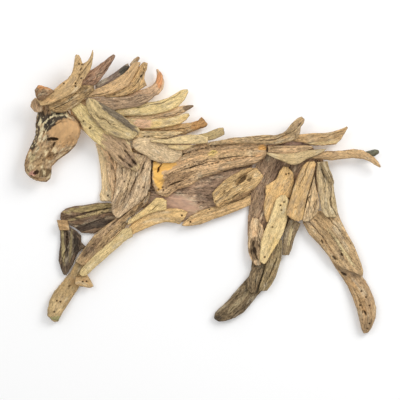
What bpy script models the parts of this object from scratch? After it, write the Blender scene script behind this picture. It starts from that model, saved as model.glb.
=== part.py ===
"""Driftwood horse: a galloping horse built up from sixty weathered sticks and boards, to hang flat on a wall.

The horse runs towards -X and is seen from -Y. The wall is the plane y = 0, +Z is up, and the origin lies on
the back of the barrel board, which is the board that meets the wall behind the middle of the body.
Every piece is a board or stick that lies flat: its cross-cuts are given in centimetres as the two ends of a
line across the grain, and the boards are stacked forward from the wall in levels of equal height.
"""
import math

import bpy
import bmesh
from mathutils import Vector

CM = 0.01                 # the lists below are in centimetres
LEVEL = 1.1               # height of one level of boards, cm
GAP = 0.03                # clearance between a board and the one it is fixed to, cm
OBJECT_NAME = "driftwood_horse"

# Cross-sections: (part of the way across the board, part of the way from its back to its front).
BOARD = [(0.04, 0.0), (0.0, 0.5), (0.1, 0.9), (0.5, 1.0), (0.9, 0.9), (1.0, 0.5), (0.96, 0.0)]
STICK = [(0.14, 0.0), (0.0, 0.42), (0.16, 0.84), (0.5, 1.0), (0.84, 0.84), (1.0, 0.42), (0.86, 0.0)]
SPLIT = [(0.04, 0.0), (0.0, 0.5), (0.08, 0.9), (0.27, 1.0), (0.33, 0.76), (0.41, 0.97), (0.58, 0.94),
         (0.65, 0.72), (0.73, 0.98), (0.92, 0.9), (1.0, 0.5), (0.96, 0.0)]
LUMP = [(0.2, 0.0), (0.03, 0.2), (0.0, 0.5), (0.1, 0.8), (0.3, 0.97), (0.55, 1.0), (0.8, 0.86),
        (0.96, 0.6), (1.0, 0.3), (0.85, 0.0)]

# Wood tones: linear colour and roughness.
TONES = {
    "pale_wood": ((0.68, 0.52, 0.26), 0.72),
    "tan_wood": ((0.52, 0.34, 0.16), 0.78),
    "orange_wood": ((0.60, 0.31, 0.10), 0.74),
    "grey_brown_wood": ((0.33, 0.22, 0.13), 0.84),
    "red_brown_wood": ((0.23, 0.12, 0.07), 0.82),
    "slate_wood": ((0.14, 0.11, 0.10), 0.85),
    "charred_wood": ((0.06, 0.045, 0.035), 0.86),
    "olive_wood": ((0.42, 0.33, 0.15), 0.8),
}


def clear_scene():
    for old in list(bpy.data.objects):
        bpy.data.objects.remove(old, do_unlink=True)


def new_collection(name):
    collection = bpy.data.collections.new(name)
    bpy.context.scene.collection.children.link(collection)
    return collection


def wood(name, tone):
    colour, roughness = TONES[tone]
    material = bpy.data.materials.new(name + "_" + tone)
    material.use_nodes = True
    shader = material.node_tree.nodes["Principled BSDF"]
    shader.inputs["Base Color"].default_value = (*colour, 1.0)
    shader.inputs["Roughness"].default_value = roughness
    shader.inputs["Metallic"].default_value = 0.0
    return material


def ring_of(bm, cut, back, front, section):
    """One cross-cut of a board: the section stretched between the cut's two ends."""
    edge_a = Vector((cut[0], 0.0, cut[1]))
    edge_b = Vector((cut[2], 0.0, cut[3]))
    ring = []
    for across, rise in section:
        point = edge_a.lerp(edge_b, across)
        point.y = -(back + (front - back) * rise)
        ring.append(bm.verts.new(point * CM))
    return ring


def loft(name, cuts, back, fronts, section):
    """A closed solid through the cross-cuts, flat at both ends."""
    bm = bmesh.new()
    rings = [ring_of(bm, cut, back, front, section) for cut, front in zip(cuts, fronts)]
    for one, two in zip(rings, rings[1:]):
        for i in range(len(section)):
            j = (i + 1) % len(section)
            bm.faces.new((one[i], one[j], two[j], two[i]))
    bm.faces.new(rings[0])
    bm.faces.new(list(reversed(rings[-1])))
    bmesh.ops.triangulate(bm, faces=bm.faces[:])
    bmesh.ops.recalc_face_normals(bm, faces=bm.faces[:])
    mesh = bpy.data.meshes.new(name)
    bm.to_mesh(mesh)
    bm.free()
    mesh.shade_smooth()
    return mesh


def piece(name, tone, level, cuts, section=BOARD, height=LEVEL - GAP, rises=None):
    """One board or stick. rises gives each cut its own height; otherwise they all share one."""
    back = level * LEVEL + (GAP if level > 0 else 0.0)
    fronts = [back + rise for rise in (rises or [height] * len(cuts))]
    made = bpy.data.objects.new(name, loft(name, cuts, back, fronts, section))
    made.data.materials.append(wood(name, tone))
    horse.objects.link(made)
    return made


def cutter(name, centre, size, turn):
    """A lens-shaped cutter for a slot: its centre and its three widths in cm, turned about Y in degrees."""
    bpy.ops.mesh.primitive_uv_sphere_add(segments=8, ring_count=6, radius=0.5 * CM)
    tool = bpy.context.object
    tool.name = name
    tool.location = Vector(centre) * CM
    tool.rotation_euler = (0.0, math.radians(turn), 0.0)
    tool.scale = size
    tool.hide_render = True
    tool.display_type = "WIRE"
    for collection in list(tool.users_collection):
        collection.objects.unlink(tool)
    cutters.objects.link(tool)
    return tool


def cut_with(target, tools):
    for tool in tools:
        boolean = target.modifiers.new(tool.name, "BOOLEAN")
        boolean.operation = "DIFFERENCE"
        boolean.solver = "EXACT"
        boolean.object = tool


def join_with(target, addition):
    """Weld a second stick onto the first, so that both are one body, and drop the second object."""
    boolean = target.modifiers.new("join", "BOOLEAN")
    boolean.operation = "UNION"
    boolean.solver = "EXACT"
    boolean.object = addition
    evaluated = target.evaluated_get(bpy.context.evaluated_depsgraph_get())
    mesh = bpy.data.meshes.new_from_object(evaluated)
    target.modifiers.clear()
    target.data = mesh
    bpy.data.objects.remove(addition, do_unlink=True)


def head_and_forelock():
    """The head is one knobbly lump: a round cheek, a long nose and a blunt muzzle, slotted for the face."""
    head = piece("head", "tan_wood", 2, [
        (-45.6, 19.2, -39.4, 19.2), (-46.4, 17.2, -38.8, 17.4), (-47.0, 15.7, -37.6, 15.7),
        (-47.2, 14.7, -36.4, 14.9), (-47.4, 13.0, -35.2, 13.2), (-47.3, 11.0, -34.6, 11.2),
        (-47.7, 9.0, -34.9, 9.2), (-48.6, 7.0, -36.0, 6.9),
        (-49.6, 5.0, -38.0, 4.8), (-50.3, 3.0, -40.9, 2.8), (-50.6, 1.2, -42.8, 0.9),
        (-50.3, -0.5, -42.8, -0.9), (-49.3, -2.0, -43.1, -2.3), (-47.4, -3.2, -44.3, -3.45)],
        LUMP, rises=[1.9, 2.0, 2.1, 2.9, 3.7, 4.2, 4.1, 3.5, 3.1, 2.9, 3.0, 3.1, 2.8, 1.8])
    cut_with(head, [
        cutter("cutter_eye", (-42.2, -6.1, 8.5), (3.4, 2.2, 0.7), -6),
        cutter("cutter_nostril", (-47.2, -5.2, -0.9), (1.5, 1.6, 0.8), -30),
        cutter("cutter_mouth", (-47.8, -4.6, -2.4), (3.0, 3.0, 0.45), 28)])

    fork = piece("ear_fork", "tan_wood", 5, [
        (-45.6, 17.6, -47.3, 19.6), (-43.4, 18.0, -44.6, 20.4), (-41.0, 19.1, -42.2, 22.2),
        (-38.6, 20.2, -40.0, 24.2), (-36.2, 21.3, -38.2, 25.4), (-34.4, 23.0, -37.0, 27.2),
        (-33.8, 25.6, -36.6, 28.8), (-34.0, 29.4, -36.4, 30.3), (-34.5, 31.0, -36.2, 31.6),
        (-35.0, 31.9, -35.9, 32.1)])
    prong = piece("ear_prong", "tan_wood", 5, [
        (-33.6, 25.0, -35.6, 27.0), (-31.8, 27.8, -34.3, 29.4), (-31.4, 29.4, -32.7, 30.3),
        (-31.1, 31.4, -31.9, 31.6), (-30.9, 33.3, -31.3, 33.45)], height=0.96)
    join_with(fork, prong)

    piece("forelock_knob", "grey_brown_wood", 6, [
        (-46.9, 20.0, -47.4, 22.2), (-46.2, 19.1, -46.4, 23.6), (-45.0, 19.1, -45.2, 23.6),
        (-43.8, 20.1, -43.6, 22.9), (-42.6, 21.1, -42.4, 22.3), (-41.8, 21.7, -41.7, 22.0)],
        STICK, rises=[0.8, 1.4, 1.7, 1.5, 1.0, 0.5])
    piece("brow_stub", "red_brown_wood", 4, [
        (-48.7, 17.6, -48.3, 19.2), (-47.6, 16.2, -47.4, 20.2), (-46.6, 15.8, -46.3, 20.0),
        (-45.4, 16.2, -45.0, 19.0)])
    piece("forehead_bar", "olive_wood", 4, [
        (-43.4, 16.5, -43.8, 18.4), (-41.6, 15.9, -42.0, 19.4), (-39.4, 15.9, -40.0, 21.0),
        (-37.2, 16.9, -37.8, 22.4), (-35.0, 18.2, -35.8, 23.4), (-33.4, 19.9, -34.0, 23.6),
        (-32.0, 21.2, -32.2, 23.7), (-30.7, 22.3, -30.8, 23.5)], SPLIT)


def mane():
    """Long splinters that stream back from the neck, the highest ones steep and the lowest ones level."""
    piece("mane_red_spike", "red_brown_wood", 3, [
        (-34.6, 22.3, -36.0, 24.6), (-32.6, 22.9, -34.6, 26.4), (-30.9, 23.5, -33.1, 27.4),
        (-29.2, 24.9, -31.4, 28.2), (-27.8, 27.0, -29.8, 29.3), (-26.4, 29.1, -28.3, 30.5),
        (-25.4, 30.8, -26.8, 31.6), (-24.8, 32.1, -25.4, 32.5)], SPLIT)
    piece("mane_slate", "slate_wood", 2, [
        (-30.6, 22.0, -30.8, 24.4), (-29.0, 22.8, -29.2, 25.2), (-26.8, 23.8, -27.2, 26.1),
        (-24.8, 25.0, -25.2, 27.4), (-23.0, 26.2, -23.4, 28.8), (-21.7, 27.4, -22.3, 29.6),
        (-20.9, 28.6, -21.4, 30.0)], STICK)
    piece("mane_splinter", "tan_wood", 2, [
        (-20.4, 27.9, -21.1, 29.6), (-19.9, 29.0, -20.6, 30.6), (-19.4, 29.7, -19.8, 31.2),
        (-18.7, 30.4, -18.9, 31.8), (-18.2, 31.2, -18.35, 31.75)], STICK)
    piece("mane_wide_tan", "tan_wood", 3, [
        (-34.2, 19.8, -34.3, 21.3), (-32.9, 19.9, -33.0, 21.8), (-31.2, 20.3, -31.6, 22.2),
        (-28.6, 20.5, -29.2, 23.2), (-25.6, 21.4, -26.4, 24.6), (-23.2, 22.5, -24.2, 26.0),
        (-21.6, 23.4, -22.6, 27.0), (-20.2, 25.3, -21.4, 28.4), (-19.2, 27.3, -20.5, 29.5),
        (-18.2, 29.2, -19.4, 30.3), (-17.8, 29.8, -18.2, 30.2)])
    piece("mane_rough", "tan_wood", 2, [
        (-28.4, 20.2, -28.2, 21.2), (-25.6, 20.2, -25.4, 21.9), (-22.8, 20.5, -23.2, 22.9),
        (-20.2, 21.4, -21.6, 23.8), (-18.2, 22.4, -20.6, 25.2), (-16.2, 23.6, -19.9, 26.2),
        (-17.0, 25.5, -19.6, 27.2), (-16.7, 27.2, -19.2, 28.2), (-16.0, 28.8, -18.4, 29.2),
        (-15.8, 30.0, -17.2, 30.3)], SPLIT)
    piece("mane_hook", "orange_wood", 1, [
        (-26.0, 21.4, -26.0, 20.3), (-21.0, 21.9, -20.6, 20.1), (-18.6, 22.4, -18.2, 20.0),
        (-16.2, 23.1, -15.6, 20.2), (-14.8, 23.9, -13.0, 21.1), (-13.9, 25.0, -11.7, 22.7),
        (-13.6, 26.2, -11.2, 24.8), (-13.6, 27.3, -11.7, 26.8), (-13.7, 28.3, -13.1, 28.4)], STICK)
    piece("mane_grey_brown", "grey_brown_wood", 3, [
        (-30.7, 17.8, -31.6, 19.5), (-28.6, 17.0, -28.6, 20.1), (-26.0, 16.4, -26.2, 20.3),
        (-23.4, 16.9, -23.4, 20.4), (-20.6, 17.2, -20.6, 20.8), (-18.0, 17.8, -18.0, 21.2),
        (-16.0, 18.9, -16.2, 21.3), (-14.6, 20.1, -14.8, 21.2), (-13.3, 21.35, -13.4, 21.6)], SPLIT)
    piece("mane_yellow", "pale_wood", 2, [
        (-28.0, 14.8, -28.2, 17.2), (-25.0, 14.9, -25.2, 17.6), (-22.0, 15.0, -22.0, 17.8),
        (-19.0, 15.05, -19.2, 18.4), (-15.6, 15.25, -15.8, 19.0), (-12.4, 15.8, -12.8, 19.5),
        (-9.6, 16.7, -10.2, 20.3), (-7.4, 17.8, -8.2, 21.5), (-5.7, 19.6, -6.6, 22.5),
        (-4.4, 21.9, -4.8, 22.7)])
    piece("mane_dark_tipped", "grey_brown_wood", 1, [
        (-25.0, 12.6, -25.0, 15.4), (-22.0, 13.0, -21.8, 15.6), (-19.0, 13.4, -19.0, 15.7),
        (-16.0, 13.8, -16.0, 15.9), (-13.0, 14.0, -13.0, 16.3), (-10.2, 14.4, -10.4, 17.1),
        (-7.8, 15.2, -8.0, 17.8), (-5.6, 16.2, -5.8, 18.2), (-4.2, 17.1, -4.2, 18.3),
        (-3.0, 17.8, -3.1, 18.3)], STICK)
    piece("mane_pink_based", "pale_wood", 2, [
        (-23.4, 11.8, -23.8, 14.2), (-20.2, 11.6, -20.4, 14.4), (-17.6, 11.4, -17.8, 14.3),
        (-15.0, 11.35, -15.2, 14.3), (-12.0, 11.7, -12.2, 14.5), (-9.2, 12.2, -9.4, 14.8),
        (-7.0, 12.8, -7.2, 15.4), (-5.2, 14.0, -5.4, 15.9), (-4.2, 15.2, -4.3, 15.9)])
    piece("mane_flared", "orange_wood", 1, [
        (-21.6, 9.8, -21.6, 12.2), (-17.6, 9.8, -17.4, 12.4), (-14.0, 9.8, -14.0, 12.4),
        (-10.5, 9.9, -10.6, 12.6), (-7.6, 9.9, -7.8, 13.0), (-5.6, 9.9, -5.8, 13.2),
        (-3.6, 10.7, -3.8, 13.4), (-1.4, 11.5, -2.0, 14.0), (0.4, 12.0, -1.0, 15.0),
        (1.0, 12.8, -0.2, 14.2)])
    piece("mane_brown_splinter", "grey_brown_wood", 2, [
        (-21.0, 8.4, -21.0, 10.9), (-18.4, 8.5, -18.2, 11.0), (-16.0, 8.6, -16.0, 11.0),
        (-13.0, 8.6, -13.0, 10.9), (-10.4, 8.7, -10.6, 10.9), (-8.2, 9.5, -8.4, 10.8),
        (-6.0, 10.4, -6.1, 10.9)], SPLIT)
    piece("mane_square_ended", "olive_wood", 3, [
        (-4.0, 8.5, -4.0, 9.6), (-1.6, 8.3, -2.0, 9.9), (0.8, 8.15, 0.4, 10.4),
        (2.6, 8.5, 2.2, 11.2), (4.0, 9.1, 3.9, 11.8), (5.6, 9.9, 5.2, 11.9)])
    piece("mane_long_pale", "pale_wood", 4, [
        (-15.6, 7.8, -15.4, 8.3), (-13.0, 7.5, -13.0, 8.5), (-10.0, 7.15, -10.2, 8.7),
        (-7.0, 7.1, -7.2, 9.4), (-4.0, 7.15, -4.0, 9.9), (-1.4, 7.15, -1.4, 9.8),
        (1.0, 7.5, 1.1, 9.2)])
    piece("mane_short_tip", "pale_wood", 4, [
        (-10.4, 6.2, -10.4, 6.95), (-8.0, 5.5, -8.0, 6.95), (-6.0, 5.4, -6.0, 6.95),
        (-4.4, 6.1, -4.2, 6.95), (-3.3, 6.75, -3.3, 6.95)], height=0.7)


def neck_and_shoulder():
    piece("withers_slab", "tan_wood", 3, [
        (-20.6, 6.6, -20.3, 8.5), (-19.1, 5.3, -18.6, 9.2), (-16.8, 3.8, -16.4, 9.1),
        (-14.2, 2.3, -13.8, 8.9), (-11.4, 1.85, -11.2, 8.6), (-9.0, 1.9, -8.8, 7.9),
        (-7.4, 2.6, -7.4, 6.9), (-6.3, 4.0, -6.2, 5.6)])
    piece("neck_leaf", "olive_wood", 4, [
        (-33.4, 19.0, -32.6, 20.2), (-33.0, 16.8, -30.6, 19.7), (-31.4, 14.2, -27.6, 18.0),
        (-29.4, 11.8, -25.0, 16.5), (-27.0, 10.0, -22.4, 14.9), (-24.4, 8.9, -20.2, 13.3),
        (-22.0, 8.4, -18.6, 11.8), (-20.3, 8.3, -17.8, 10.9), (-19.4, 9.2, -18.2, 10.4)], SPLIT)
    piece("neck_plank", "pale_wood", 3, [
        (-38.2, 18.4, -35.8, 20.0), (-37.3, 16.5, -34.5, 18.6), (-35.0, 13.4, -31.0, 17.0),
        (-33.8, 10.7, -28.4, 14.0), (-31.0, 7.9, -25.6, 11.6), (-28.6, 6.1, -22.8, 9.8),
        (-26.6, 4.4, -20.9, 7.6), (-25.0, 2.2, -20.2, 5.0), (-23.0, 0.8, -18.9, 2.8),
        (-20.4, 0.0, -18.0, 1.2), (-19.2, -0.7, -18.1, 0.3)], SPLIT)
    piece("chest_strip", "tan_wood", 0, [
        (-30.9, 7.6, -27.2, 6.6), (-30.1, 4.6, -26.4, 4.4), (-29.5, 1.0, -26.0, 1.0),
        (-29.1, -2.8, -25.4, -2.6), (-29.1, -5.2, -25.0, -5.4), (-29.7, -6.9, -25.0, -7.2),
        (-29.5, -8.8, -26.0, -8.85)])
    piece("neck_board", "grey_brown_wood", 1, [
        (-38.0, 19.8, -28.6, 20.2), (-38.6, 18.0, -28.0, 18.8), (-37.4, 15.0, -26.8, 16.4),
        (-35.3, 11.8, -26.4, 12.0), (-31.2, 8.6, -24.6, 8.2), (-28.8, 5.8, -22.8, 4.6),
        (-27.8, 3.0, -22.4, 1.6), (-27.6, 0.0, -22.8, 0.0), (-27.1, -3.2, -22.8, -2.8),
        (-26.2, -6.0, -23.0, -5.6), (-26.4, -8.6, -23.6, -8.4), (-25.8, -11.2, -24.0, -10.6)], SPLIT)
    piece("shoulder_board", "tan_wood", 2, [
        (-21.6, 5.4, -15.0, 3.8), (-24.6, 2.0, -14.9, 1.0), (-25.0, -1.0, -15.1, -2.0),
        (-25.1, -4.4, -15.2, -4.8), (-25.8, -7.0, -16.2, -7.2), (-26.4, -9.2, -18.0, -9.0),
        (-26.2, -11.6, -20.4, -10.8), (-25.7, -12.9, -22.4, -12.2), (-24.9, -13.6, -23.6, -13.4)], SPLIT)


def near_foreleg():
    """The near foreleg reaches down to the left, with a spur of wood as its fetlock."""
    piece("near_forearm", "grey_brown_wood", 1, [
        (-17.2, -5.6, -15.0, -6.0), (-19.8, -8.6, -16.2, -9.6), (-22.8, -11.4, -19.2, -12.0),
        (-25.2, -13.6, -21.4, -14.8), (-28.4, -15.9, -23.8, -17.8), (-31.0, -18.0, -26.2, -21.0),
        (-33.3, -21.0, -29.2, -23.6), (-35.4, -23.8, -32.0, -26.0), (-36.5, -25.6, -34.2, -27.2)], SPLIT)
    piece("near_leg_pale_strip", "pale_wood", 2, [
        (-20.5, -15.9, -20.2, -18.7), (-23.0, -16.4, -21.6, -19.4), (-25.2, -18.9, -24.1, -21.5),
        (-28.1, -21.3, -26.9, -23.9), (-30.7, -23.5, -29.5, -26.3), (-33.0, -25.8, -31.6, -28.2),
        (-34.8, -27.8, -33.1, -29.5), (-35.4, -29.2, -34.4, -29.9)], height=0.9)
    piece("fetlock_spur", "orange_wood", 1, [
        (-36.4, -32.2, -36.4, -29.9), (-34.8, -32.7, -34.6, -29.7), (-33.4, -33.0, -33.1, -29.2),
        (-32.2, -33.1, -32.4, -30.3), (-31.2, -32.7, -31.35, -32.2)])
    piece("near_cannon_and_hoof", "tan_wood", 0, [
        (-35.0, -23.2, -32.2, -24.4), (-36.5, -26.0, -33.6, -27.4), (-37.7, -28.4, -34.6, -30.2),
        (-39.8, -30.8, -35.2, -32.7), (-42.4, -34.0, -36.9, -35.4), (-43.8, -36.8, -38.4, -37.7),
        (-44.3, -39.2, -39.8, -39.8), (-44.3, -41.0, -40.6, -41.3), (-42.9, -42.6, -41.3, -42.7)],
        rises=[1.0, 1.1, 1.1, 1.1, 2.0, 2.3, 2.4, 2.2, 1.4])


def far_foreleg():
    """The far foreleg is folded: a dark forearm level with the chest and a dark cannon hanging below it."""
    piece("far_forearm", "charred_wood", 0, [
        (-41.0, -13.9, -40.7, -11.9), (-39.2, -15.0, -39.2, -10.7), (-37.0, -16.0, -36.8, -10.0),
        (-34.6, -17.8, -33.4, -9.6), (-31.2, -17.9, -30.6, -9.1), (-28.4, -16.8, -28.4, -9.0),
        (-25.6, -14.4, -25.6, -9.2), (-23.6, -12.8, -23.6, -9.9)], SPLIT)
    piece("far_knee_chip", "orange_wood", 1, [
        (-41.7, -14.0, -38.6, -14.0), (-41.4, -15.2, -38.2, -15.3), (-41.1, -16.2, -38.0, -16.3),
        (-40.9, -16.9, -37.9, -16.9)], height=0.8)
    piece("far_cannon", "charred_wood", 0, [
        (-40.6, -14.8, -39.0, -15.5), (-40.9, -16.4, -36.5, -16.8), (-40.8, -18.0, -34.7, -18.4),
        (-40.7, -20.2, -34.7, -20.2), (-40.9, -21.9, -33.3, -21.7), (-41.1, -23.4, -35.4, -22.9),
        (-41.2, -25.4, -36.8, -25.8), (-40.6, -27.6, -37.8, -27.8), (-39.8, -29.5, -38.9, -29.6)], SPLIT)


def barrel():
    """The barrel board meets the wall. The belly strips lap over its lower edge, the back board its top."""
    piece("barrel_board", "grey_brown_wood", 0, [
        (-23.4, -8.0, -22.2, 4.6), (-20.0, -9.8, -18.6, 8.6), (-17.0, -11.2, -14.4, 9.2),
        (-13.6, -12.6, -10.4, 9.0), (-10.0, -13.8, -7.0, 8.2), (-6.4, -14.9, -3.4, 7.4),
        (-2.0, -14.2, 0.4, 7.2), (2.0, -13.0, 4.0, 7.2), (6.0, -11.6, 7.6, 7.2),
        (9.6, -10.0, 11.0, 7.0), (11.6, -8.6, 14.4, 6.4)], SPLIT)
    piece("breast_block", "pale_wood", 2, [
        (-21.9, -15.5, -21.5, -14.0), (-20.2, -14.9, -20.2, -13.0), (-17.8, -13.4, -17.6, -11.2),
        (-15.4, -12.2, -15.2, -9.2), (-13.4, -11.7, -13.8, -7.7), (-12.0, -11.5, -11.9, -7.8),
        (-10.8, -11.2, -10.6, -8.3)])
    piece("belly_front_strip", "tan_wood", 1, [
        (-22.2, -19.0, -21.6, -16.2), (-20.2, -18.1, -19.8, -14.2), (-17.2, -16.8, -17.4, -12.6),
        (-14.0, -15.4, -14.4, -11.4), (-11.0, -14.6, -11.4, -10.6), (-8.4, -14.9, -8.4, -10.6),
        (-7.2, -15.3, -6.2, -11.0), (-6.1, -14.2, -4.6, -11.7)])
    piece("belly_tan_strip", "tan_wood", 1, [
        (-6.8, -15.7, -5.9, -14.5), (-4.8, -15.8, -4.1, -12.8), (-1.4, -15.3, -1.0, -11.1),
        (1.6, -14.2, 2.0, -10.3), (4.7, -13.1, 5.2, -9.6), (7.7, -12.0, 8.4, -8.2),
        (10.6, -10.8, 11.0, -7.2), (12.8, -9.8, 13.0, -6.8)], SPLIT)
    piece("flank_slat", "tan_wood", 2, [
        (2.4, -9.4, 1.9, -6.4), (3.8, -11.0, 3.0, -5.2), (6.0, -9.4, 5.2, -3.0),
        (9.4, -8.5, 7.4, -1.4), (11.6, -7.6, 9.8, 0.0), (13.6, -5.7, 12.4, 0.7),
        (15.4, -3.6, 14.6, 0.6), (16.6, -1.8, 15.8, -0.6)], SPLIT)
    piece("back_board", "grey_brown_wood", 1, [
        (-15.0, -4.2, -14.6, 2.4), (-13.6, -7.0, -12.4, 3.6), (-10.6, -7.8, -9.2, 5.4),
        (-7.8, -5.5, -6.4, 6.6), (-4.2, -4.6, -3.6, 7.2), (-1.0, -2.3, -0.8, 7.5),
        (3.0, -1.2, 2.6, 7.7), (7.0, 0.2, 6.6, 8.1), (11.0, 0.9, 10.8, 8.2),
        (14.6, 1.8, 14.5, 8.1), (16.6, 3.2, 16.8, 7.9), (17.3, 4.2, 17.4, 7.4)],
        SPLIT, height=2 * LEVEL - GAP)
    piece("back_ridge", "tan_wood", 3, [
        (0.4, 6.8, 0.6, 7.6), (4.0, 6.9, 4.0, 8.4), (8.0, 7.3, 8.0, 9.1), (12.0, 7.3, 12.0, 9.4),
        (16.0, 7.2, 16.0, 9.8), (20.0, 7.0, 20.0, 9.9), (24.0, 7.9, 21.6, 10.3),
        (26.0, 8.8, 22.6, 11.0), (26.6, 10.3, 23.6, 12.4), (26.8, 12.0, 24.8, 13.7),
        (27.7, 13.1, 26.0, 14.6), (28.0, 14.2, 27.0, 15.0)],
        rises=[0.4, 0.7, 0.9, 1.1, 1.3, 1.4, 1.5, 1.4, 1.3, 1.2, 1.1, 0.8])


def croup_and_tail():
    piece("tail_upper", "orange_wood", 2, [
        (24.4, 8.0, 24.4, 9.8), (27.4, 7.6, 27.4, 10.1), (30.4, 6.8, 30.4, 10.4),
        (33.4, 6.8, 33.4, 10.4), (36.6, 7.1, 35.8, 10.8), (38.1, 8.5, 37.6, 11.4),
        (39.2, 10.3, 38.8, 11.9), (40.1, 11.8, 39.9, 12.3)])
    piece("croup_dark_strip", "red_brown_wood", 1, [
        (17.7, 5.8, 17.8, 7.8), (20.4, 6.4, 20.6, 8.0), (23.6, 6.4, 23.6, 8.6),
        (27.0, 6.6, 27.0, 8.6), (29.6, 6.9, 29.6, 8.3), (31.6, 7.2, 31.4, 8.0)])
    piece("croup_tan_strip", "tan_wood", 2, [
        (17.5, 4.7, 17.5, 6.85), (19.4, 4.3, 19.4, 6.9), (22.4, 4.1, 22.4, 6.9),
        (25.4, 4.4, 25.4, 6.9), (28.2, 5.2, 28.2, 7.0), (30.2, 6.0, 30.2, 6.7)])
    piece("rump_boat", "pale_wood", 3, [
        (16.9, 4.4, 16.9, 4.9), (19.4, 3.2, 19.6, 4.7), (21.8, 2.2, 22.0, 4.6),
        (24.2, 1.3, 24.4, 4.7), (26.2, 1.4, 26.8, 5.2), (28.3, 2.9, 28.8, 5.6),
        (31.4, 4.0, 31.2, 5.8), (34.2, 5.8, 34.0, 6.0)])
    piece("tail_long", "orange_wood", 2, [
        (29.6, 3.2, 29.4, 4.6), (32.4, 2.9, 32.4, 5.4), (35.4, 2.6, 35.4, 5.5),
        (38.4, 3.0, 38.4, 5.5), (41.4, 3.3, 41.6, 5.95), (44.0, 3.0, 44.3, 5.6),
        (46.4, 2.0, 47.1, 4.0), (48.2, 1.0, 48.6, 2.3), (49.2, 0.6, 49.4, 1.2)], STICK)
    piece("tail_dark_tip", "slate_wood", 1, [
        (43.6, 3.5, 43.8, 4.9), (46.2, 3.6, 46.4, 5.6), (47.6, 3.8, 47.7, 5.9),
        (48.9, 4.7, 48.8, 5.6)], STICK)


def haunch():
    """The thigh is a fan of planks nailed to a wide dark board that meets the wall."""
    piece("haunch_board", "red_brown_wood", 0, [
        (16.4, 7.3, 30.0, 6.9), (15.8, 4.8, 33.0, 4.2), (14.2, 1.6, 34.0, 1.4), (13.2, -1.4, 33.6, -1.6),
        (12.7, -5.0, 32.6, -5.0), (12.3, -8.6, 30.6, -8.6), (12.0, -12.0, 27.6, -12.4),
        (11.8, -15.4, 23.6, -16.0), (11.8, -18.8, 18.4, -19.4)], SPLIT)
    piece("thigh_glove", "tan_wood", 1, [
        (22.0, 1.2, 23.4, 1.1), (20.8, -0.4, 24.8, -0.8), (20.0, -2.5, 25.0, -3.0),
        (16.9, -4.4, 24.6, -5.4), (17.0, -7.0, 24.0, -7.6), (16.4, -10.2, 21.4, -10.0),
        (16.6, -12.6, 19.4, -12.6), (17.2, -14.8, 18.2, -14.7)])
    piece("thigh_blade", "pale_wood", 2, [
        (21.2, -6.8, 22.6, -6.8), (19.8, -8.2, 23.6, -8.4), (18.8, -11.0, 23.2, -11.4),
        (17.9, -14.0, 23.0, -14.4), (16.4, -17.4, 22.0, -17.6), (15.5, -20.4, 20.6, -20.4),
        (15.2, -23.2, 18.6, -23.4), (15.2, -25.6, 17.4, -25.6), (16.0, -26.4, 16.8, -26.4)])
    piece("stifle_piece", "tan_wood", 1, [
        (13.2, -13.3, 14.8, -13.4), (12.5, -15.2, 16.2, -15.4), (12.1, -18.0, 17.2, -18.2),
        (11.9, -20.6, 16.8, -21.0), (12.1, -23.0, 16.6, -23.4), (12.9, -25.2, 16.0, -25.6),
        (14.2, -26.9, 15.6, -27.0)], SPLIT)
    piece("thigh_centre_plank", "tan_wood", 3, [
        (28.4, 2.3, 30.6, 2.7), (27.3, 1.3, 31.1, 1.8), (26.5, -0.3, 30.7, -0.3),
        (25.6, -2.3, 30.1, -2.3), (24.6, -5.0, 29.3, -5.0), (23.8, -7.7, 28.5, -7.8),
        (23.0, -10.5, 27.9, -10.6), (22.5, -12.2, 27.6, -12.6), (23.8, -13.7, 27.2, -14.0),
        (25.0, -14.4, 26.0, -14.6)])
    piece("thigh_rear_plank", "tan_wood", 2, [
        (30.1, -1.9, 30.7, -1.8), (28.8, -4.6, 31.1, -4.6), (27.8, -7.6, 31.8, -7.6),
        (27.0, -10.4, 32.2, -10.4), (27.0, -12.6, 31.0, -12.8), (27.2, -14.5, 29.0, -14.5)], SPLIT)
    piece("buttock_board", "tan_wood", 2, [
        (31.2, 2.4, 34.2, 2.4), (31.0, 0.4, 35.0, 0.0), (31.1, -2.6, 35.9, -2.6),
        (31.5, -5.8, 36.2, -5.8), (32.2, -9.0, 36.8, -9.2), (32.5, -11.6, 37.2, -11.6),
        (33.6, -13.2, 36.6, -13.6)], SPLIT)
    piece("buttock_chip", "olive_wood", 3, [
        (32.2, 2.4, 34.3, 2.4), (32.6, 0.8, 34.9, 0.4), (33.4, -1.2, 35.7, -1.4),
        (34.6, -3.2, 36.1, -3.3), (35.2, -4.0, 36.0, -4.1)], height=0.8)


def far_hind_leg():
    piece("far_hind_thigh", "tan_wood", 1, [
        (29.0, -11.4, 37.2, -11.4), (27.2, -14.6, 38.2, -14.0), (29.0, -18.0, 40.2, -18.0),
        (31.7, -20.7, 41.9, -21.0), (33.9, -23.3, 42.9, -23.5), (35.5, -25.5, 43.9, -26.1),
        (38.4, -27.5, 44.5, -28.2), (41.6, -28.8, 44.4, -29.9)], SPLIT)
    piece("far_hind_cannon_and_hoof", "tan_wood", 0, [
        (34.8, -24.4, 41.6, -25.0), (36.6, -27.6, 43.4, -28.4), (38.6, -30.4, 44.9, -30.5),
        (40.2, -33.0, 46.1, -32.7), (41.5, -36.0, 47.4, -35.7), (42.5, -39.0, 48.2, -38.6),
        (43.2, -41.8, 48.0, -41.4), (43.9, -44.6, 46.8, -44.4), (44.6, -46.0, 45.9, -45.9)],
        rises=[1.05, 1.05, 1.05, 1.7, 2.1, 2.3, 2.3, 2.0, 1.2])


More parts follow.
